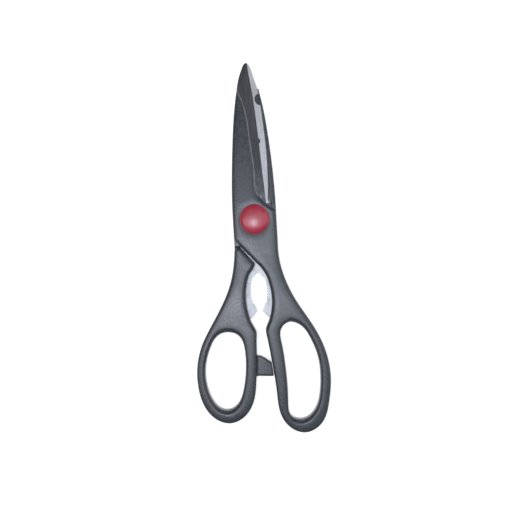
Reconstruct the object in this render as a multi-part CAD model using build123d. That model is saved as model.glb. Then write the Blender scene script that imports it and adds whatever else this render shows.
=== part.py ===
from build123d import *
from math import cos, radians, sin
import os

# Household shears with plastic-clad blades, a toothed jaw between the shanks and a domed pivot cap.
# Millimetres. The pivot axis is the Z axis, +Y runs to the blade tips, and Z = 0 is the table
# that the shears lie on. The front half is on top: its finger loop is at the right and its
# cutting edge faces right. The rear half is below it, with the thumb loop at the left.

# ---- driving dimensions -------------------------------------------------------------------
grip_thickness = 11.2          # full thickness of the loops and shanks
pivot_thickness = 9.2          # plastic to plastic across the pivot
shroud_tip_cover = 1.3         # plastic over the blade at the shroud's tip end
blade_thickness = 2.2
blade_gap = 0.2                # between the two blades' mating faces

half_width = 12.7              # half the width across the pivot
shroud_end_y = 76.4            # where the plastic on a blade stops
spine_cover = 2.6              # plastic round a blade's spine...
spine_cover_end = 0.4          # ...thinning out to this where the shroud ends
level_y = 9.8                  # the outer faces are level round the pivot, and slope down from here
shroud_heel_y = 5.3            # where the shroud's lower sweep reaches the outline

rise_high_y = -20.0            # the outer faces rise from here...
rise_low_y = -52.0             # ...to the full grip thickness here

shoulder_angle = 40.6          # slant of the shoulders below the pivot, from the X axis
plate_reach = 16.9             # from the pivot to a pivot plate's slanted lower edge
shoulder_reach = 17.7          # from the pivot to the opposite half's shoulder
plate_inner_x = 1.3            # where these edges meet the wall of the jaw opening
shoulder_inner_x = 1.6

edge_radius = 1.5              # rounded outer edges of the plastic
corner_radius = 2.2            # its corners in plan
corner_tolerance = 0.2         # how near a vertical edge lies to the corner it belongs to

notch_centre = (7.5, 69.9)     # half-round notch in the front blade's cutting edge
notch_radius = 3.5
hole_centre = (4.1, 45.5)      # small round hole beside the bevel
hole_radius = 1.9

jaw_teeth = 9
jaw_tooth_depth = 0.7

tab_thickness = 6.4            # stop tab between the loops
tab_gap = 0.3                  # to the finger loop, closed
tab_edge_radius = 0.8
tab_outline = [(-6, -79.4), (-1.5, -79.4), (1.2, -80.9), (4.8, -83.7), (9, -85), (9, -92), (-6.4, -90.9)]

bolt_radius = 3.0
bolt_key_width = 5.0           # across the flats that lock the bolt in the front blade
running_clearance = 0.05
head_radius = 5.6
head_thickness = 1.3
head_rim_radius = 0.4
slot_width = 1.2
slot_depth = 0.65
washer_radius = 6.4
washer_thickness = 0.5
thread_radius = 2.45           # M5 thread, modelled plain
nut_flats = 8.0
nut_thickness = 1.6
nut_chamfer = 0.4
spring_radius = 4.8
spring_thickness = 0.35
spring_bore = 2.6
split_width = 0.8
split_angle = 20               # how far the split leans from the radius
thread_chamfer = 0.4
thread_end_gap = 0.1           # thread that stands out below the nut
pocket_radius = 7.6            # hole in the plastic for the pivot hardware
cap_radius = 8.75
cap_flange = 1.0
cap_rim_radius = 0.8
cap_dome = 1.9                 # rise of the front cap's dome above its flange
cap_skirt_height = 1.1
cap_wall = 0.8
cap_fit = 0.05                 # gap between a cap's skirt and its pocket
dome_radius = 8.3              # of the front cap's dome, just inside the flange's rounded rim

# ---- heights that follow ------------------------------------------------------------------
middle = grip_thickness / 2
pivot_top = middle + pivot_thickness / 2
pivot_bottom = middle - pivot_thickness / 2
front_low = middle + blade_gap / 2
front_high = front_low + blade_thickness
rear_high = middle - blade_gap / 2
rear_low = rear_high - blade_thickness
head_seat = front_high + washer_thickness
spring_low = rear_low - running_clearance - spring_thickness
nut_low = spring_low - nut_thickness
thread_end = nut_low - thread_end_gap

# ---- plan outlines ------------------------------------------------------------------------
# Each is a few points on a smooth curve, in the closed pose. "outer" runs down the outside of
# a shank and round its loop to the corner where the two shanks come closest.
finger_outer = [
    (half_width, -15), (13.2, -25), (15.9, -36), (21.1, -48), (28.3, -60), (34.5, -72),
    (38.0, -84), (38.8, -96), (37.1, -108), (32.2, -120.4), (22.2, -125.4), (12.6, -120.9),
    (8.2, -113), (7.0, -102), (5.6, -87), (4.1, -75), (2.9, -67),
]
finger_corner = (2.7, -64.9)
finger_wall = [
    (4.4, -60), (6.4, -54), (7.2, -46), (6.4, -39), (4.7, -33), (3.0, -29.8),
]
finger_hole = [
    (18.0, -60.8), (24.3, -64.3), (28.8, -72), (31.9, -81), (33.0, -91.5), (32.2, -102),
    (29.2, -111.6), (20.9, -117.6), (14.6, -115.2), (13.3, -108), (13.5, -98), (12.9, -85),
    (11.6, -73), (11.7, -64.4),
]
thumb_outer = [
    (-half_width, -15), (-13.7, -25), (-16.2, -36), (-21.5, -48), (-28.6, -60), (-35.2, -72),
    (-38.4, -84), (-38.4, -96), (-34.9, -108), (-28.6, -115.1), (-20.8, -117.6), (-12.8, -114.5),
    (-7.2, -107), (-4.7, -96), (-3.7, -84), (-3.2, -75), (-2.9, -69),
]
thumb_corner = (-2.7, -66.5)
thumb_wall = [
    (-5.2, -60), (-7.2, -52.6), (-7.8, -46), (-7.1, -39), (-5.4, -33), (-3.1, -29.4),
]
thumb_hole = [
    (-19.2, -64.8), (-25.6, -66.6), (-30.6, -74.2), (-33.5, -84), (-33.6, -93), (-31.3, -102),
    (-26.2, -108.7), (-21.6, -109.9), (-16.6, -107.4), (-12.4, -99), (-10.3, -87), (-10.2, -76),
    (-12.4, -68.2),
]
# From the shroud's end down the spine side of each half, as distances from the Y axis. The rear
# half's spine stands out a little further.
front_spine = [(6.0, shroud_end_y), (8.1, 65), (10.2, 47), (11.8, 27), (12.6, 10), (half_width, 0)]
rear_spine = [(6.6, shroud_end_y), (8.8, 65), (10.9, 47), (12.3, 27), (12.8, 10), (half_width, 0)]
# The shroud's other edge, which lies along the blade's flat and sweeps out across the pivot.
shroud_side = [(-1.0, 60), (0.2, 46.5), (1.3, 35), (1.8, 27), (1.8, 18.5), (4.0, 12), (8.4, 7.8)]

# Blade: the spine beyond the shroud, then the cutting edge from the tip down to its heel.
tip_spine = [(-6.0, shroud_end_y), (-5.0, 81), (-3.3, 86), (-1.9, 89.2), (-1.0, 90.6)]
tip = (0.2, 91.2)
cutting_edge = [
    (1.2, 90.6), (2.1, 89.2), (4.0, 83), (6.0, 76), (7.3, 66), (8.3, 53), (9.0, 40), (9.1, 28), (8.2, 11),
]
# The rear blade's point is narrower, so it stays hidden. Seen from its own outer side.
rear_tip_spine = [(-4.4, shroud_end_y), (-3.7, 81), (-2.6, 86), (-1.5, 89)]
rear_tip = (-0.6, 90.2)
rear_edge = [(0.4, 89), (3.3, 83), (5.5, 76), (7.0, 66), (8.2, 53), (9.0, 40), (9.1, 28), (8.2, 11)]

# Bevel stations down the blade: position, inner border of the bevel, cutting edge, depth there.
bevel_stations = [
    (92.5, 0.6, 1.2, 0.45), (83, 1.6, 4.1, 1.5), (70, 3.2, 7.1, 1.95), (50, 4.8, 8.6, 1.95),
    (28, 6.0, 9.2, 1.7), (9, 7.3, 8.3, 0.5),
]

# Hidden part of the tang: down the outside of the shank from the pivot to the end of the jaw.
tang_outer = [(11.3, 4), (11.1, -6), (9.2, -15), (9.3, -23), (11.9, -36), (15.2, -46)]
tang_end = [(14.6, -53.5), (10.0, -57.6), (5.3, -57.8)]
jaw_hook = (1.5, -53.6)
jaw_arc = [(3.4, -49.2), (4.5, -42), (3.1, -34)]
jaw_top = [(0.4, -31.2), (-1.3, -30.2)]
tang_inner = [(-1.5, -28.6), (0.2, -24.6), (-9.6, -13.1), (-11.3, -8)]


def slant_point(reach, x, side):
    """The point at x on the slanted line that passes the pivot at this distance."""
    nx = side * cos(radians(shoulder_angle))
    ny = -sin(radians(shoulder_angle))
    return (x, (reach - nx * x) / ny)


def filled(*lines):
    """The face inside a closed chain of lines."""
    return make_face([edge for line in lines for edge in line.edges()])


def slab(face, low, high):
    return extrude(Pos(0, 0, low) * face, high - low)


def turned_over(shape):
    """A half turn about the Y direction through the mating plane, for the lower twin."""
    return Pos(0, 0, middle) * Rot(0, 180, 0) * Pos(0, 0, -middle) * shape


# ---- steel --------------------------------------------------------------------------------
def jaw_edge():
    """The toothed inner edge of the jaw, from the hook up to the top of the cavity."""
    arc = Spline(*[Vector(x, y) for x, y in jaw_arc])
    points = []
    for step in range(2 * jaw_teeth + 1):
        base = arc @ (step / (2 * jaw_teeth))
        bite = jaw_tooth_depth if step % 2 else 0
        points.append((base.X + bite, base.Y))
    return points


def blade_outline(spine, point, edge):
    """Blade, tang and jaw plate of a half in plan, with this point between its spine and edge."""
    end_x, end_y = front_spine[0]
    cover = [(-end_x + spine_cover_end, end_y)] + [(-x + spine_cover, y) for x, y in front_spine[1:]]
    edges = [
        Spline(*spine, point, *edge),
        Line(edge[-1], tang_outer[0]),
        Spline(*tang_outer),
        Polyline(tang_outer[-1], *tang_end, jaw_hook, *jaw_edge(), *jaw_top, *tang_inner, cover[-1]),
        Spline(*reversed(cover)),
        Line(cover[0], spine[0]),
    ]
    return filled(*edges)


def bevel_cutter():
    """A wedge that grinds the cutting edge, from the tip to the heel."""
    margin = blade_thickness
    sections = []
    for y, border, edge, depth in bevel_stations:
        slope = depth / (edge - border)
        far = edge + margin
        low = front_high - slope * (far - border)
        sections.append(Polyline((border, y, front_high), (far, y, low), (far, y, front_high + margin),
                                 (border, y, front_high + margin), close=True))
    return loft([filled(section) for section in sections], ruled=True)


def blade(outline, bore):
    """A blade with its bevel on top; turned over, it is a rear blade."""
    steel = slab(outline, front_low, front_high) - bevel_cutter()
    return steel - slab(bore, front_low, front_high)


def front_blade():
    flats = Rectangle(2 * head_radius, bolt_key_width + 2 * running_clearance)
    bore = Circle(bolt_radius + running_clearance) & flats
    steel = blade(blade_outline(tip_spine, tip, cutting_edge), bore)
    for centre, radius in ((notch_centre, notch_radius), (hole_centre, hole_radius)):
        steel -= slab(Pos(*centre) * Circle(radius), front_low, front_high)
    return steel


def rear_blade():
    outline = blade_outline(rear_tip_spine, rear_tip, rear_edge)
    return turned_over(blade(outline, Circle(bolt_radius + running_clearance)))


# ---- plastic ------------------------------------------------------------------------------
def shank_outline(outer, corner, wall, side):
    """A loop with its shank up to the shoulder; side is 1 where the loop is at the right."""
    start, upper_wall = [slant_point(shoulder_reach, side * x, side) for x in (half_width, shoulder_inner_x)]
    loop = Spline(*outer, corner, *wall)
    return filled(
        Line(start, outer[0]),
        loop,
        TangentArc(wall[-1], upper_wall, tangent=loop % 1),
        Line(upper_wall, start),
    )


def plate_outline(outer, corner, wall, spine_side, side):
    """The loop, shank, pivot plate and shroud that a half has on its outer side."""
    low_wall = slant_point(plate_reach, side * plate_inner_x, -side)
    low_side = slant_point(plate_reach, -side * half_width, -side)
    spine = [(-side * x, y) for x, y in reversed(spine_side)]
    inner = [(side * x, y) for x, y in shroud_side]
    heel = (side * half_width, shroud_heel_y)
    loop = Spline(*outer, corner, *wall)
    return filled(
        Line(heel, outer[0]),
        loop,
        TangentArc(wall[-1], low_wall, tangent=loop % 1),
        Line(low_wall, low_side),
        Line(low_side, spine[0]),
        Spline(*spine),
        Spline(spine[-1], *inner, heel),
    )


def face_profile():
    """Everything above the outer face of the plastic, from the loops to the shroud's thin end."""
    shroud_end = front_high + shroud_tip_cover
    clear = 2 * grip_thickness
    low = (rise_low_y, grip_thickness)
    high = (rise_high_y, pivot_top)
    rise = Spline(low, high, tangents=((1, 0), (1, 0)))
    rest = Polyline(high, (level_y, pivot_top), (shroud_end_y, shroud_end), (tip[1], shroud_end),
                    (tip[1], clear), (rise_low_y, clear), low)
    return extrude(Plane.YZ * filled(rise, rest), 2 * tip[1], both=True)


def rim_edges(solid):
    """The edges where the outer faces meet the walls."""
    faces = [face for face in solid.faces() if face.normal_at().Z > 0.9]
    edges = [edge for face in faces for edge in face.edges()]
    return [edge for edge in edges if edges.count(edge) == 1]


def upright_edges(solid, corners):
    """The vertical edges at these corners of the outline."""
    found = []
    for edge in solid.edges().filter_by(Axis.Z):
        foot = Vector((edge @ 0).X, (edge @ 0).Y)
        if min((foot - Vector(*corner)).length for corner in corners) < corner_tolerance:
            found.append(edge)
    return found


def layer(outline, hole, low, corners):
    """Plastic from this height up to the outer face, with rounded corners and rim."""
    solid = slab(outline, low, grip_thickness) - slab(hole, low, grip_thickness)
    solid = fillet(upright_edges(solid, corners), corner_radius) - face_profile()
    return fillet(rim_edges(solid), edge_radius)


def upside_down(shape):
    """The mirror image in the mating plane."""
    return mirror(shape, about=Plane.XY.offset(middle))


def moulding(outer, corner, wall, hole_points, spine_side, side, rounded):
    """
    A half's plastic with its plate on top: the plate, and the shank that reaches the other face.
    rounded holds the X of the ends of the plate's slanted edge that are rounded in plan.
    """
    hole = filled(Spline(*hole_points, periodic=True))
    plate_ends = [slant_point(plate_reach, x, -side) for x in rounded]
    plate = layer(plate_outline(outer, corner, wall, spine_side, side), hole, front_low, plate_ends)
    shoulder = [slant_point(shoulder_reach, side * x, side) for x in (half_width, shoulder_inner_x)]
    shank = layer(shank_outline(outer, corner, wall, side), hole, rear_high, shoulder)
    pocket = slab(Circle(pocket_radius), front_high, grip_thickness)
    bore = slab(Circle(bolt_radius + running_clearance), front_low, front_high)
    return plate + upside_down(shank) - pocket - bore


def stop_tab():
    """The tab on the thumb loop that meets the finger loop when the blades are closed."""
    outline = filled(Polyline(*tab_outline, close=True))
    tab = slab(outline, middle - tab_thickness / 2, middle + tab_thickness / 2)
    loop = shank_outline(finger_outer, finger_corner, finger_wall, 1)
    tab -= slab(Pos(-tab_gap, 0, 0) * loop, 0, grip_thickness)
    level = [edge for edge in tab.edges() if abs(edge.tangent_at(0.5).Z) < 0.1]
    long = [edge for edge in level if abs(edge.tangent_at(0.5).X) > 0.5]
    return fillet(long, tab_edge_radius)


def front_handle():
    ends = [-half_width]
    plastic = moulding(finger_outer, finger_corner, finger_wall, finger_hole, front_spine, 1, ends)
    return plastic - front_blade()


def rear_handle():
    ends = [half_width, -plate_inner_x]
    plastic = moulding(thumb_outer, thumb_corner, thumb_wall, thumb_hole, rear_spine, -1, ends)
    return upside_down(plastic) + stop_tab() - rear_blade()


# ---- pivot --------------------------------------------------------------------------------
def disc(radius, low, height):
    return Pos(0, 0, low) * Cylinder(radius, height, align=(Align.CENTER, Align.CENTER, Align.MIN))


def pivot_bolt():
    """Slotted head, a shank keyed in the front blade and round in the rear one, then the thread."""
    head = disc(head_radius, head_seat, head_thickness)
    head = fillet(head.edges().sort_by(Axis.Z)[-1], head_rim_radius)
    slot = Pos(0, 0, head_seat + head_thickness) * Box(2 * head_radius, slot_width, 2 * slot_depth)
    round_shank = disc(bolt_radius, rear_low - running_clearance, head_seat - rear_low + running_clearance)
    key = slab(Rectangle(2 * head_radius, bolt_key_width), front_low, front_high)
    round_part = round_shank - slab(Circle(head_radius), front_low, front_high)
    keyed_part = round_shank & key
    thread = disc(thread_radius, thread_end, rear_low - thread_end)
    thread = chamfer(thread.edges().sort_by(Axis.Z)[0], thread_chamfer)
    return head - slot + round_part + keyed_part + thread


def head_washer():
    hole = disc(bolt_radius + running_clearance, front_high, washer_thickness)
    return disc(washer_radius, front_high, washer_thickness) - hole


def spring_washer():
    """A split ring."""
    ring = disc(spring_radius, spring_low, spring_thickness) - disc(spring_bore, spring_low, spring_thickness)
    cut = Box(spring_radius, split_width, 4 * spring_thickness)
    middle_radius = (spring_radius + spring_bore) / 2
    return ring - Pos(middle_radius, 0, spring_low) * Rot(0, 0, split_angle) * cut


def pivot_nut():
    nut = slab(RegularPolygon(nut_flats / 2, 6, major_radius=False), nut_low, nut_low + nut_thickness)
    turned = disc(nut_flats / 2 + nut_chamfer, nut_low, nut_thickness)
    turned = chamfer(turned.edges().sort_by(Axis.Z)[0], nut_chamfer)
    return (nut & turned) - disc(thread_radius, nut_low, nut_thickness)


def cap(rise, seat):
    """A snap-in cap seen from outside: a rounded flange, a dome of this rise and a skirt below."""
    skirt = pocket_radius - cap_fit
    inside = skirt - cap_wall
    flange = disc(cap_radius, seat, cap_flange)
    flange = fillet(flange.edges().sort_by(Axis.Z)[-1], cap_rim_radius)
    solid = flange + disc(skirt, seat - cap_skirt_height, cap_skirt_height)
    if rise:
        solid += dome(dome_radius, rise, seat + cap_flange)
        solid -= dome(inside, rise, seat + cap_flange - cap_wall)
    hollow = cap_skirt_height + cap_flange - cap_wall
    return solid - disc(inside, seat - cap_skirt_height, hollow)


def dome(radius, rise, base):
    """A shallow cap of a sphere, this wide and high, on this level."""
    sphere = (radius ** 2 + rise ** 2) / (2 * rise)
    ball = Pos(0, 0, base + rise - sphere) * Sphere(sphere)
    return ball & disc(sphere, base, sphere)


def front_cap():
    return cap(cap_dome, pivot_top)


def rear_cap():
    return upside_down(cap(0, pivot_top))


nodes = {
    "front_blade": front_blade,
    "rear_blade": rear_blade,
    "front_handle": front_handle,
    "rear_handle": rear_handle,
    "pivot_bolt": pivot_bolt,
    "head_washer": head_washer,
    "spring_washer": spring_washer,
    "pivot_nut": pivot_nut,
    "front_cap": front_cap,
    "rear_cap": rear_cap,
}

os.makedirs("parts", exist_ok=True)
for name, make in nodes.items():
    export_step(make(), f"parts/{name}.step")
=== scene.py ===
import math

import bmesh
import bpy
import numpy as np
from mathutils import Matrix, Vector
from mathutils.kdtree import KDTree


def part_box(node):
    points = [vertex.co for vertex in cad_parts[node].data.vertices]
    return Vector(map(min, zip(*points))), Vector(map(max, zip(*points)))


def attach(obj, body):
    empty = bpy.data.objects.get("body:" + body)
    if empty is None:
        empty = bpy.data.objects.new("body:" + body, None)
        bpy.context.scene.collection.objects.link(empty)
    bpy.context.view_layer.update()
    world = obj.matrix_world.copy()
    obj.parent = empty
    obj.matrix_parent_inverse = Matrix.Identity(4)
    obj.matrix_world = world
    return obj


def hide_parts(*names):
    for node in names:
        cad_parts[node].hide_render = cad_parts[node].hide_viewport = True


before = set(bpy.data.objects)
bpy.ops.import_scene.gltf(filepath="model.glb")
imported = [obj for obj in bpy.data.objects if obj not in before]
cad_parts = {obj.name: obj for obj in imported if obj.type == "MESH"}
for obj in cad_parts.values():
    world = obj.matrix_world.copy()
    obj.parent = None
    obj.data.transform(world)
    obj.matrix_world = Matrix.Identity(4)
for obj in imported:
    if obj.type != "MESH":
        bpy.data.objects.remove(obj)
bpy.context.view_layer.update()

MM = 0.001

# ---- measures, in metres ------------------------------------------------------------------
MIDDLE = sum(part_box("front_handle")[side][2] for side in (0, 1)) / 2     # the mating plane
WELD = 0.001 * MM
FAR = 1.0
VOXEL = 0.45 * MM                # mesh size of the mouldings
SMOOTH_ROUNDS = 4
SMOOTH_AMOUNTS = (0.5, -0.52)    # each round smooths, then swells the shape back
WALL_TILT = 0.25                 # a face is a wall where its normal's Z is under this
LEVEL_STEP = 2 * MM              # the outer faces' height is read in rows this deep...
LEVEL_ROWS = 5                   # ...and averaged over this many
CROWN = 0.25 * MM                # how far the faces fall towards their edges
CROWN_WIDTH = 5 * MM
HOLE_CENTRE = {1: (22 * MM, -91 * MM), -1: (-22 * MM, -88 * MM)}
HOLE_REACH = (14 * MM, 32 * MM)  # an ellipse round a loop's hole
HOLE_TOP = -58 * MM
HOLE_ROUND = 1.9 * MM            # rounding inside the loops, at their sides...
HOLE_ROUND_ENDS = 3.4 * MM       # ...and at their ends
HOLE_SLOPE = 0.75                # its depth as a share of its width
JAW_WALL_TOP = -27 * MM          # the wall of the jaw opening
JAW_WALL_END = -64 * MM
JAW_WALL_X = 10 * MM
JAW_ROUND = 2.6 * MM
JAW_SLOPE = 0.75
JAW_TOP = -20 * MM               # the bright part of the steel starts here
JAW_FADE = 2 * MM
POCKET_HALF = 2.6 * MM           # the blades' pockets lie this near the mating plane
END_MARGIN = 0.15 * MM           # the shroud's end is drawn out again to meet the blade
END_REACH = 3 * MM
LIP_START = 14 * MM              # painted highlight: a pale line on the shroud's edge beside the blade
LIP_HEIGHT = 2.3 * MM
LIP_WIDTH = 0.8 * MM
LIP_TILT = 0.6                   # its wall leans this much at most...
LIP_SIDEWAYS = 0.3               # ...and faces the blade's edge at least this much
STRIP_START = 9 * MM             # the strip along a shroud's spine, on the mating side
STRIP_WIDTH = 2.2 * MM
STRIP_DROP = 1.1 * MM
STRIP_REACH = 2.2 * MM
STRIP_TILT = 0.5
WORN_WIDTH = 2.5 * MM
GRIP_START = -45 * MM
CAP_FLANGE = 1.0 * MM
CAP_DOME = 8.35 * MM
PILLOW = 0.5                     # share of the dome that is round; the rest falls off at its edge
PILLOW_STEPS = 22
CAP_GROOVE = 0.10 * MM
CAP_RIM = 0.3 * MM
RIM_STEPS = 5
CAP_SHADE_REACH = 1.2 * MM              # painted shade darkens the cap's edge this far in
CAP_SKIRT = 7.55 * MM
CAP_SKIRT_HEIGHT = 1.1 * MM
CAP_WALL = 0.8 * MM
CAP_TURNS = 96
CAP_SHARP = 50                   # shading breaks at edges sharper than this, in degrees
BLADE_SHARP = 12
HARDWARE_SHARP = 35
CAMERA_HEIGHT = 0.58
VIEW_WIDTH = 0.304
VIEW_CENTRE = (0.0017, -0.0238)
VIEW_TURN = math.radians(3.38)   # the blades lean this far to the left of the view
CLIP_START = 0.01
WORLD_LIGHT = 0.08
FLOOR_HALF = 2.0
FLOOR_DROP = 0.2 * MM
FLOOR_GLOW = 0.60
LAMPS = (                        # name, place, aim, size, power, tint
    # a small softbox over the shanks, seen as a sheen
    ("sheen", (-0.028, -0.046, 0.62), (0, -0.035, 0), (0.12, 0.12), 1.12, (0.92, 0.95, 1.08)),
    # a small lamp that lights the cap's highlight
    ("spark", (-0.06, -0.11, 0.60), (0, 0, 0), (0.04, 0.04), 0.07, (1, 1, 1)),
    # softboxes at each side, high up
    ("left_top", (-0.38, -0.10, 0.70), (0, 0, 0), (0.30, 0.50), 1.5, (1, 1, 1)),
    ("right_top", (0.40, 0.02, 0.70), (0, 0, 0), (0.55, 0.80), 1.5, (1, 1, 1)),
    # a low softbox at the right, seen in the bevel
    ("right_low", (0.62, 0.04, 0.30), (0, 0, 0), (0.50, 0.60), 0.62, (1, 1, 1)),
)

# ---- where the finishes change ------------------------------------------------------------
PIVOT_SHADE_SPAN = (26 * MM, 88 * MM)   # painted shade: the steel flat is darker by the pivot and lightens towards the tip over this stretch
THIN_COAT = (10 * MM, 35 * MM)   # its rubbed patches fade out over this one
TIP_HIGHLIGHT_SPAN = (70 * MM, 84 * MM)  # painted highlight: the bevel brightens towards the tip over this one
BEVEL_SLOPE = (0.10, 0.25)       # a bevel faces up more than a wall...
FLAT_SLOPE = (0.985, 0.998)      # ...and less than a flat
SEAM_HALF = (0.05 * MM, 0.22 * MM)  # the seam fades out this far from the mating plane

# ---- colours ------------------------------------------------------------------------------
PLASTIC_DARK, PLASTIC_LIGHT = (0.040, 0.048, 0.056), (0.050, 0.060, 0.070)
PLASTIC_SPECK = (0.078, 0.092, 0.114)
PLASTIC_RUBBED = (0.085, 0.092, 0.104)
# painted highlight on the shroud's edge beside the blade
PLASTIC_LIP_HIGHLIGHT = (0.27, 0.28, 0.30)
COAT_DARK, COAT_LIGHT = (0.068, 0.070, 0.075), (0.102, 0.106, 0.114)
# painted shade on the steel flat by the pivot
COAT_PIVOT_SHADE = (0.034, 0.0355, 0.038)
COAT_THIN = (0.085, 0.088, 0.096)
BEVEL_DARK, BEVEL_LIGHT = (0.43, 0.455, 0.505), (0.55, 0.58, 0.63)
BEVEL_SMUDGE = (0.36, 0.38, 0.425)
# painted highlight on the bevel near the tip
BEVEL_TIP_HIGHLIGHT = (0.80, 0.82, 0.84)
JAW_LIGHT, JAW_DARK = (0.41, 0.43, 0.443), (0.33, 0.347, 0.369)
PLATED_DARK, PLATED_LIGHT = (0.60, 0.60, 0.60), (0.72, 0.71, 0.69)
RED_DARK, RED_LIGHT = (0.42, 0.028, 0.058), (0.49, 0.038, 0.078)
RED_SCRATCH = (0.45, 0.10, 0.13)
# painted shade at the cap's groove and edge
RED_PAINTED_SHADE = (0.15, 0.014, 0.032)
FLOOR_DARK, FLOOR_LIGHT = (0.90, 0.90, 0.90), (0.92, 0.92, 0.92)


# ---- node helpers -------------------------------------------------------------------------
class Shader:
    """A material's node tree, with short calls for the nodes used here."""

    def __init__(self, name):
        self.material = bpy.data.materials.new(name)
        self.material.use_nodes = True
        self.tree = self.material.node_tree
        self.tree.nodes.clear()
        self.out = self.tree.nodes.new("ShaderNodeOutputMaterial")
        self.main = self.tree.nodes.new("ShaderNodeBsdfPrincipled")
        self.link(self.main.outputs[0], self.out.inputs["Surface"])
        self.where = self.tree.nodes.new("ShaderNodeTexCoord").outputs["Object"]

    def link(self, source, target):
        self.tree.links.new(source, target)

    def put(self, source, target):
        """Links a socket, or sets a number or colour on the socket itself."""
        if isinstance(source, bpy.types.NodeSocket):
            self.link(source, target)
        else:
            target.default_value = source

    def stretched(self, scale):
        node = self.tree.nodes.new("ShaderNodeMapping")
        self.link(self.where, node.inputs["Vector"])
        node.inputs["Scale"].default_value = scale
        return node.outputs[0]

    def noise(self, scale, detail=3.0, roughness=0.55, vector=None):
        node = self.tree.nodes.new("ShaderNodeTexNoise")
        self.link(vector or self.where, node.inputs["Vector"])
        node.inputs["Scale"].default_value = scale
        node.inputs["Detail"].default_value = detail
        node.inputs["Roughness"].default_value = roughness
        return node.outputs["Fac"]

    def cells(self, scale):
        node = self.tree.nodes.new("ShaderNodeTexVoronoi")
        self.link(self.where, node.inputs["Vector"])
        node.inputs["Scale"].default_value = scale
        return node.outputs["Distance"]

    def attribute(self, name):
        node = self.tree.nodes.new("ShaderNodeAttribute")
        node.attribute_name = name
        return node.outputs["Fac"]

    def ramp(self, value, low, high, to_low=0.0, to_high=1.0):
        node = self.tree.nodes.new("ShaderNodeMapRange")
        node.interpolation_type = "SMOOTHSTEP"
        self.put(value, node.inputs["Value"])
        for name, number in (("From Min", low), ("From Max", high), ("To Min", to_low), ("To Max", to_high)):
            node.inputs[name].default_value = number
        return node.outputs["Result"]

    def math(self, kind, a, b=0.0):
        node = self.tree.nodes.new("ShaderNodeMath")
        node.operation = kind
        self.put(a, node.inputs[0])
        self.put(b, node.inputs[1])
        return node.outputs[0]

    def mix(self, factor, a, b):
        node = self.tree.nodes.new("ShaderNodeMix")
        node.data_type = "RGBA"
        self.put(factor, node.inputs["Factor"])
        self.put((*a, 1) if isinstance(a, tuple) else a, node.inputs["A"])
        self.put((*b, 1) if isinstance(b, tuple) else b, node.inputs["B"])
        return node.outputs["Result"]

    def bump(self, height, strength, distance, below=None):
        node = self.tree.nodes.new("ShaderNodeBump")
        node.inputs["Strength"].default_value = strength
        node.inputs["Distance"].default_value = distance
        self.link(height, node.inputs["Height"])
        if below:
            self.link(below, node.inputs["Normal"])
        return node.outputs["Normal"]

    def part(self, vector, axis):
        node = self.tree.nodes.new("ShaderNodeSeparateXYZ")
        self.link(vector, node.inputs[0])
        return node.outputs[axis]

    def facing_up(self):
        """How far the surface faces up or down, from 0 on a wall to 1 on a flat."""
        geometry = self.tree.nodes.new("ShaderNodeNewGeometry")
        return self.math("ABSOLUTE", self.part(geometry.outputs["True Normal"], "Z"))

    def finish(self, color, roughness, normal=None, **sockets):
        self.put(color, self.main.inputs["Base Color"])
        self.put(roughness, self.main.inputs["Roughness"])
        if normal:
            self.link(normal, self.main.inputs["Normal"])
        for name, value in sockets.items():
            self.main.inputs[name.replace("_", " ")].default_value = value
        return self.material


# ---- materials ----------------------------------------------------------------------------
def charcoal_plastic():
    """
    Moulded plastic: spark-eroded grain, faint flow marks, a seam, edges rubbed smooth by hands
    and a painted highlight: a pale line where the shroud meets the blade.
    """
    s = Shader("charcoal_plastic")
    flow = s.noise(45, 4)
    speck = s.noise(1000, 2)
    base = s.mix(s.ramp(flow, 0.3, 0.7), PLASTIC_DARK, PLASTIC_LIGHT)
    base = s.mix(s.ramp(speck, 0.42, 0.72, 0, 0.65), base, PLASTIC_SPECK)
    rubbed = s.math("MULTIPLY", s.attribute("wear_and_shade"), s.ramp(s.noise(160, 5), 0.4, 0.7))
    base = s.mix(s.math("MULTIPLY", rubbed, 0.3), base, PLASTIC_RUBBED)
    # painted highlight: a pale line on the shroud's edge beside the blade
    lip_highlight = s.math("MULTIPLY", s.attribute("lip_highlight"), s.ramp(s.noise(220, 4), 0.25, 0.6, 0.5, 1))
    base = s.mix(lip_highlight, base, PLASTIC_LIP_HIGHLIGHT)
    rough = s.math("ADD", s.ramp(flow, 0.25, 0.75, 0.27, 0.32), s.ramp(speck, 0.3, 0.7, -0.03, 0.05))
    rough = s.math("SUBTRACT", rough, s.math("MULTIPLY", rubbed, 0.05))
    seam = s.math("ABSOLUTE", s.math("SUBTRACT", s.part(s.where, "Z"), MIDDLE))
    seam = s.math("MULTIPLY", s.ramp(seam, *SEAM_HALF, 1, 0), s.ramp(s.facing_up(), 0.2, 0.5, 1, 0))
    grain = s.bump(s.noise(1000, 3, 0.6), 0.16, 0.1 * MM)
    grain = s.bump(s.cells(2600), 0.10, 0.04 * MM, grain)
    grain = s.bump(seam, 0.6, 0.12 * MM, grain)
    return s.finish(base, rough, grain, Specular_IOR_Level=0.36)


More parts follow.
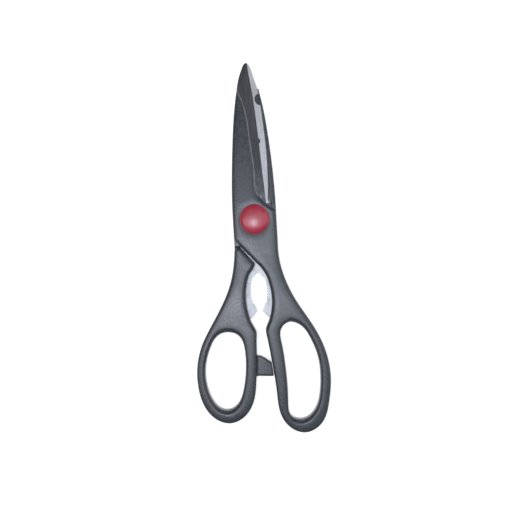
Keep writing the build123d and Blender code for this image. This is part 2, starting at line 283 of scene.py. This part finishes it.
def ground_steel():
    """
    Stainless steel: flats with a dark satin finish that has rubbed thin beside the pivot and painted shade
    darkening them by the pivot, a ground bevel with a painted highlight near the tip, and bright jaws.
    """
    s = Shader("ground_steel")
    up = s.facing_up()
    y = s.part(s.where, "Y")
    bevel = s.math("MULTIPLY", s.ramp(up, *BEVEL_SLOPE), s.ramp(up, *FLAT_SLOPE, 1, 0))
    jaw = s.ramp(y, JAW_TOP - JAW_FADE, JAW_TOP, 1, 0)
    along = s.noise(1, 5, 0.6, s.stretched((2200, 90, 2200)))
    across = s.noise(1, 3, 0.6, s.stretched((160, 3200, 160)))
    smudge = s.noise(330, 5, 0.65)
    # painted shade: the flat darkens towards the pivot
    near = s.ramp(y, *PIVOT_SHADE_SPAN, 1, 0)
    thin = s.math("MULTIPLY", s.ramp(y, *THIN_COAT, 1, 0), s.ramp(smudge, 0.46, 0.66))
    coated = s.mix(s.ramp(along, 0.3, 0.7), COAT_DARK, COAT_LIGHT)
    coated = s.mix(near, coated, COAT_PIVOT_SHADE)
    coated = s.mix(s.math("MULTIPLY", thin, 0.6), coated, COAT_THIN)
    ground = s.mix(s.ramp(across, 0.3, 0.7), BEVEL_DARK, BEVEL_LIGHT)
    ground = s.mix(s.ramp(smudge, 0.5, 0.75, 0, 0.5), ground, BEVEL_SMUDGE)
    # painted highlight: the bevel lightens towards the tip
    ground = s.mix(s.ramp(y, *TIP_HIGHLIGHT_SPAN, 0, 0.8), ground, BEVEL_TIP_HIGHLIGHT)
    pale = s.mix(s.ramp(smudge, 0.4, 0.7), JAW_LIGHT, JAW_DARK)
    color = s.mix(jaw, s.mix(bevel, coated, ground), pale)
    rough = s.ramp(along, 0.25, 0.75, 0.28, 0.36)
    rough = s.math("ADD", rough, s.math("MULTIPLY", bevel, 0.06))
    rough = s.math("ADD", rough, s.math("MULTIPLY", jaw, 0.2))
    lines = s.bump(along, 0.25, 0.02 * MM)
    lines = s.bump(s.math("MULTIPLY", across, bevel), 0.3, 0.02 * MM, lines)
    return s.finish(color, rough, lines, Metallic=1.0)


def plated_steel():
    """Plated fasteners, faintly turned."""
    s = Shader("plated_steel")
    cloud = s.noise(240, 4)
    turned = s.noise(1, 2, 0.5, s.stretched((500, 500, 9000)))
    color = s.mix(s.ramp(cloud, 0.3, 0.7), PLATED_DARK, PLATED_LIGHT)
    rough = s.ramp(cloud, 0.3, 0.7, 0.24, 0.36)
    return s.finish(color, rough, s.bump(turned, 0.2, 0.02 * MM), Metallic=1.0)


def red_plastic():
    """Red plastic, dulled by handling: a fine skin, hairline scratches, and painted shade darkening its
    groove and edge.
    """
    s = Shader("red_plastic")
    cloud = s.noise(160, 4)
    scratch = s.ramp(s.noise(1, 2, 0.5, s.stretched((3000, 240, 600))), 0.62, 0.72)
    base = s.mix(s.ramp(cloud, 0.3, 0.7), RED_DARK, RED_LIGHT)
    base = s.mix(s.math("MULTIPLY", scratch, 0.25), base, RED_SCRATCH)
    # painted shade darkening the cap's groove and edge
    base = s.mix(s.math("MULTIPLY", s.attribute("wear_and_shade"), 0.35), base, RED_PAINTED_SHADE)
    rough = s.math("ADD", s.ramp(cloud, 0.3, 0.7, 0.36, 0.46), s.math("MULTIPLY", scratch, 0.12))
    skin = s.bump(s.noise(900, 3), 0.12, 0.1 * MM)
    skin = s.bump(scratch, 0.08, 0.03 * MM, skin)
    return s.finish(base, rough, skin, Coat_Weight=0.5, Coat_Roughness=0.22)


def pale_floor():
    """A flat floor that glows a little, so that it stays white round the piece."""
    s = Shader("pale_floor")
    tone = s.ramp(s.noise(3, 2), 0.3, 0.7, 0, 1)
    color = s.mix(tone, FLOOR_DARK, FLOOR_LIGHT)
    s.main.inputs["Emission Color"].default_value = (1, 1, 1, 1)
    return s.finish(color, 0.8, Emission_Strength=FLOOR_GLOW, Specular_IOR_Level=0.1)


# ---- mesh helpers -------------------------------------------------------------------------
def vertices_of(mesh):
    points = np.empty(len(mesh.vertices) * 3)
    mesh.vertices.foreach_get("co", points)
    return points.reshape(-1, 3)


def normals_of(mesh):
    normals = np.empty(len(mesh.vertices) * 3)
    mesh.vertex_normals.foreach_get("vector", normals)
    return normals.reshape(-1, 3)


def set_vertices(mesh, points):
    mesh.vertices.foreach_set("co", points.ravel())
    mesh.update()


def add_attribute(mesh, name, values):
    layer = mesh.attributes.new(name, "FLOAT", "POINT")
    layer.data.foreach_set("value", values.astype(np.float32))


def relaxed(mesh, rounds):
    """Vertices with the mesh's fine steps smoothed away, without shrinking the shape."""
    points = vertices_of(mesh)
    edges = np.empty(len(mesh.edges) * 2, dtype=np.int64)
    mesh.edges.foreach_get("vertices", edges)
    one, other = edges.reshape(-1, 2).T
    count = np.bincount(edges, minlength=len(points))[:, None]
    for amount in SMOOTH_AMOUNTS * rounds:
        total = np.stack([
            np.bincount(one, points[other, k], len(points)) + np.bincount(other, points[one, k], len(points))
            for k in range(3)
        ], axis=1)
        points = points + (total / count - points) * amount
    return points


def smoothstep(value, low, high):
    t = np.clip((value - low) / (high - low), 0, 1)
    return t * t * (3 - 2 * t)


def plan_distance(points, wall):
    """
    For each point, its distance in plan from the nearest wall point on the same side of the
    mating plane, and that wall point's index.
    """
    distance = np.full(len(points), FAR)
    nearest = np.zeros(len(points), dtype=int)
    for side in (-1, 1):
        tree = KDTree(len(wall))
        for number, (x, y, z) in enumerate(wall):
            if (z - MIDDLE) * side > 0:
                tree.insert((x, y, 0), number)
        tree.balance()
        for k in np.flatnonzero((points[:, 2] - MIDDLE) * side >= 0):
            _, number, far = tree.find((points[k, 0], points[k, 1], 0))
            if number is not None:
                distance[k], nearest[k] = far, number
    return distance, nearest


def show(name, mesh, material, body, slot, *nodes):
    piece = bpy.data.objects.new(name, mesh)
    bpy.context.scene.collection.objects.link(piece)
    mesh.materials.clear()
    mesh.materials.append(material)
    mesh.shade_smooth()
    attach(piece, body)
    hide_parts(*nodes)
    return piece


# ---- handles ------------------------------------------------------------------------------
def remeshed(node):
    """The CAD node's shape as an even mesh."""
    piece = bpy.data.objects.new("work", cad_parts[node].data.copy())
    bpy.context.scene.collection.objects.link(piece)
    piece.modifiers.new("weld", "WELD").merge_threshold = WELD
    remesh = piece.modifiers.new("remesh", "REMESH")
    remesh.mode = "VOXEL"
    remesh.voxel_size = VOXEL
    graph = bpy.context.evaluated_depsgraph_get()
    mesh = bpy.data.meshes.new_from_object(piece.evaluated_get(graph))
    bpy.data.objects.remove(piece)
    return mesh


def face_level(points):
    """Height of the outer face over the mating plane at each point, from the mesh's highest points."""
    row = np.round(points[:, 1] / LEVEL_STEP).astype(int)
    row -= row.min()
    highest = np.zeros(row.max() + 1)
    np.maximum.at(highest, row, np.abs(points[:, 2] - MIDDLE))
    padded = np.pad(highest, LEVEL_ROWS // 2, mode="edge")
    highest = np.convolve(padded, np.ones(LEVEL_ROWS) / LEVEL_ROWS, mode="valid")
    return highest[row]


def eased(distance, width, depth):
    """Drop of an elliptical rounding at this distance from the wall."""
    reach = np.clip(1 - distance / width, 0, 1)
    return depth * (1 - np.sqrt(1 - reach ** 2))


def handle(node, material, body, side):
    """
    A half's moulding: the CAD shape with softer roundings inside the loop and along the jaw
    opening, and faintly crowned faces. side is 1 where the loop is at the right.
    """
    mesh = remeshed(node)
    points = relaxed(mesh, SMOOTH_ROUNDS)
    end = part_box(node)[1][1] + END_MARGIN
    points[:, 1] += (end - points[:, 1].max()) * smoothstep(points[:, 1], end - END_REACH, end)
    set_vertices(mesh, points)
    normals = normals_of(mesh)
    x, y = points[:, 0] * side, points[:, 1]
    height = np.abs(points[:, 2] - MIDDLE)
    upright = (np.abs(normals[:, 2]) < WALL_TILT) & (height > POCKET_HALF)
    from_centre = points[:, :2] - np.array(HOLE_CENTRE[side])
    inward = (from_centre * normals[:, :2]).sum(axis=1) < 0
    hole = upright & inward & (y < HOLE_TOP) & (np.hypot(*(from_centre / HOLE_REACH).T) < 1)
    jaw = upright & (y < JAW_WALL_TOP) & (y > JAW_WALL_END) & (x < JAW_WALL_X) & (normals[:, 0] * side < 0)
    hole_far, nearest = plan_distance(points, points[hole])
    ends = normals[hole][nearest][:, 1] ** 2
    width = HOLE_ROUND + (HOLE_ROUND_ENDS - HOLE_ROUND) * ends
    jaw_far, _ = plan_distance(points, points[jaw])
    rim_far, _ = plan_distance(points, points[upright])
    drop = np.maximum.reduce([
        eased(hole_far, width, width * HOLE_SLOPE),
        eased(jaw_far, JAW_ROUND, JAW_ROUND * JAW_SLOPE),
        CROWN * np.clip(1 - rim_far / CROWN_WIDTH, 0, 1) ** 2,
    ])
    points[:, 2] = MIDDLE + (points[:, 2] - MIDDLE) * (1 - drop / face_level(points))
    points = spine_rounded(points, normals, side)
    set_vertices(mesh, points)
    # wear on the grips' edges; the caps use the same attribute for painted shade
    add_attribute(mesh, "wear_and_shade", smoothstep(rim_far, WORN_WIDTH, 0) * (y < GRIP_START))
    # mask for the painted highlight on the shroud's edge beside the blade
    outer = height > LIP_HEIGHT
    steep = (np.abs(normals[:, 2]) < LIP_TILT) & (normals[:, 0] * side > LIP_SIDEWAYS)
    lip_far, _ = plan_distance(points, points[steep & outer & (y > LIP_START)])
    add_attribute(mesh, "lip_highlight", smoothstep(lip_far, LIP_WIDTH, LIP_WIDTH / 2) * outer)
    show(node + "_moulding", mesh, material, body, "handle_plastic", node)


def spine_rounded(points, normals, side):
    """
    The flat edge of a blade's shroud that faces the other half, rounded towards the spine. It is
    the narrow strip seen beyond the other blade's cutting edge.
    """
    rest = points[:, 2] - MIDDLE
    facing = (points[:, 1] > STRIP_START) & (points[:, 0] * side < 0) & (np.abs(rest) < STRIP_REACH)
    wall = facing & (np.abs(normals[:, 2]) < STRIP_TILT) & (normals[:, 0] * side < 0)
    spots = points[wall]
    tree = KDTree(len(spots))
    for number, (x, y, _) in enumerate(spots):
        tree.insert((x, y, 0), number)
    tree.balance()
    for k in np.flatnonzero(facing):
        _, number, far = tree.find((points[k, 0], points[k, 1], 0))
        if number is not None and far < STRIP_WIDTH:
            drop = eased(far, STRIP_WIDTH, STRIP_DROP)
            points[k, 2] += side * drop * (1 - abs(rest[k]) / STRIP_REACH)
    return points


# ---- caps ---------------------------------------------------------------------------------
def lathe(name, profile, turns):
    """A closed turned mesh about the pivot axis from (radius, height) points, first and last on it."""
    around = [2 * math.pi * k / turns for k in range(turns)]
    points = [(0, 0, profile[0][1])]
    for radius, height in profile[1:-1]:
        points += [(radius * math.cos(a), radius * math.sin(a), height) for a in around]
    points.append((0, 0, profile[-1][1]))
    last = len(points) - 1
    faces = []
    for k in range(turns):
        after = (k + 1) % turns
        faces.append((0, 1 + k, 1 + after))
        for ring in range(len(profile) - 3):
            low, high = 1 + ring * turns, 1 + (ring + 1) * turns
            faces.append((low + k, high + k, high + after, low + after))
        ring = 1 + (len(profile) - 3) * turns
        faces.append((last, ring + after, ring + k))
    mesh = bpy.data.meshes.new(name)
    mesh.from_pydata(points, [], faces)
    work = bmesh.new()
    work.from_mesh(mesh)
    bmesh.ops.recalc_face_normals(work, faces=work.faces)
    work.to_mesh(mesh)
    work.free()
    return mesh


def cap(node, material, body, side):
    """A cap from its outer face down to its hollow: a pillowed top, a fine groove and a flange."""
    low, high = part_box(node)
    radius = high[0]
    top, foot = (high[2] - MIDDLE, low[2] - MIDDLE) if side > 0 else (MIDDLE - low[2], MIDDLE - high[2])
    flange = foot + CAP_SKIRT_HEIGHT
    rise = top - flange - CAP_FLANGE
    steps = np.linspace(0, 1, PILLOW_STEPS)[:-1]
    pillow = [(CAP_DOME * t, top - rise * (PILLOW * t ** 2 + (1 - PILLOW) * t ** 8)) for t in steps]
    edge = [
        (CAP_DOME, top - rise), (CAP_DOME + CAP_GROOVE / 2, top - rise - CAP_GROOVE),
        (CAP_DOME + CAP_GROOVE, top - rise),
    ]
    turn = [math.pi / 2 * k / RIM_STEPS for k in range(RIM_STEPS + 1)]
    rim = [
        (radius - CAP_RIM + CAP_RIM * math.sin(a), flange + CAP_FLANGE - CAP_RIM + CAP_RIM * math.cos(a))
        for a in turn
    ]
    bore, ceiling = CAP_SKIRT - CAP_WALL, flange + CAP_FLANGE - CAP_WALL
    inside = [
        (radius, flange), (CAP_SKIRT, flange), (CAP_SKIRT, flange - CAP_SKIRT_HEIGHT),
        (bore, flange - CAP_SKIRT_HEIGHT), (bore, ceiling), (0, ceiling),
    ]
    profile = pillow + edge + rim + inside
    mesh = lathe(node, [(r, MIDDLE + side * z) for r, z in profile], CAP_TURNS)
    out = np.hypot(*vertices_of(mesh)[:, :2].T)
    # painted shade mask: darker towards the cap's edge
    add_attribute(mesh, "wear_and_shade", smoothstep(out, CAP_DOME - CAP_SHADE_REACH, radius))
    piece = show(node + "_shell", mesh, material, body, "cap_plastic", node)
    softened(piece, CAP_SHARP)


# ---- pieces -------------------------------------------------------------------------------
def paint(node, material):
    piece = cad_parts[node]
    piece.data.materials.clear()
    piece.data.materials.append(material)
    piece.data.shade_smooth()
    return piece


def softened(piece, angle):
    """Smooth shading that still breaks at sharp edges."""
    with bpy.context.temp_override(object=piece, active_object=piece, selected_objects=[piece],
                                   selected_editable_objects=[piece]):
        bpy.ops.object.shade_auto_smooth(angle=math.radians(angle))


# ---- stage --------------------------------------------------------------------------------
def area_light(name, place, aim, size, power, tint):
    lamp = bpy.data.lights.new(name, "AREA")
    lamp.shape = "RECTANGLE"
    lamp.size, lamp.size_y = size
    lamp.energy = power
    lamp.color = tint
    lit = bpy.data.objects.new(name, lamp)
    lit.location = place
    lit.rotation_euler = (Vector(aim) - Vector(place)).to_track_quat("-Z", "Y").to_euler()
    bpy.context.scene.collection.objects.link(lit)


def set_stage():
    world = bpy.data.worlds.new("room")
    world.use_nodes = True
    back = world.node_tree.nodes["Background"]
    back.inputs["Color"].default_value = (1, 1, 1, 1)
    back.inputs["Strength"].default_value = WORLD_LIGHT
    bpy.context.scene.world = world
    bpy.context.scene.view_settings.view_transform = "Standard"
    corners = [(x * FLOOR_HALF, y * FLOOR_HALF, 0) for x, y in ((-1, -1), (1, -1), (1, 1), (-1, 1))]
    floor_mesh = bpy.data.meshes.new("floor")
    floor_mesh.from_pydata(corners, [], [(0, 1, 2, 3)])
    floor = bpy.data.objects.new("floor", floor_mesh)
    floor.location.z = -FLOOR_DROP
    floor_mesh.materials.append(pale_floor())
    bpy.context.scene.collection.objects.link(floor)
    for lamp in LAMPS:
        area_light(*lamp)


def set_camera():
    lens = bpy.data.cameras.new("camera")
    lens.angle = 2 * math.atan(VIEW_WIDTH / 2 / CAMERA_HEIGHT)
    lens.clip_start = CLIP_START
    camera = bpy.data.objects.new("camera", lens)
    camera.location = (*VIEW_CENTRE, MIDDLE + CAMERA_HEIGHT)
    camera.rotation_euler = (0, 0, -VIEW_TURN)
    bpy.context.scene.collection.objects.link(camera)
    bpy.context.scene.camera = camera


plastic = charcoal_plastic()
steel = ground_steel()
hardware = plated_steel()
red = red_plastic()
handle("front_handle", plastic, "front_half", 1)
handle("rear_handle", plastic, "rear_half", -1)
for node in ("front_blade", "rear_blade"):
    softened(paint(node, steel), BLADE_SHARP)
for node in ("pivot_bolt", "head_washer", "spring_washer", "pivot_nut"):
    softened(paint(node, hardware), HARDWARE_SHARP)
cap("front_cap", red, "front_half", 1)
cap("rear_cap", red, "rear_half", -1)
set_stage()
set_camera()
